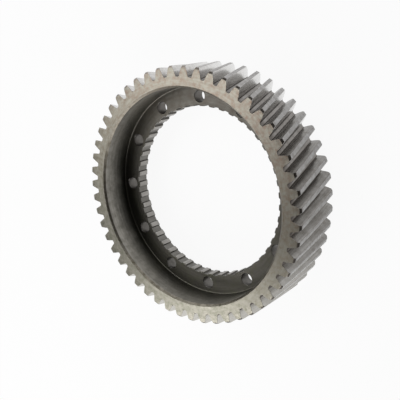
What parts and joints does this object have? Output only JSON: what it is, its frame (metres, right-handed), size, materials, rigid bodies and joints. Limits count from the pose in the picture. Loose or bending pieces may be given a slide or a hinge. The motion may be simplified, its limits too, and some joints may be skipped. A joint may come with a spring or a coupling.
{
  "type": "bull gear",
  "caption": "Wide helical ring gear with a recess in each face, a thin web with a ring of bolt holes, and an internally splined bore.",
  "frame": {"origin": "centre of the back face, which the gear lies on", "axes": "+Z is the gear's axis, pointing out of the deeper front recess; +X is a fixed direction across the gear, with tooth, bolt hole and spline angles measured from it"},
  "size_m": [0.332, 0.332, 0.081],
  "materials": {
    "machined_steel": "satin, turned and ground"
  },
  "bodies": {
    "root": {"bull_gear": "machined_steel"}
  },
  "joints": []
}
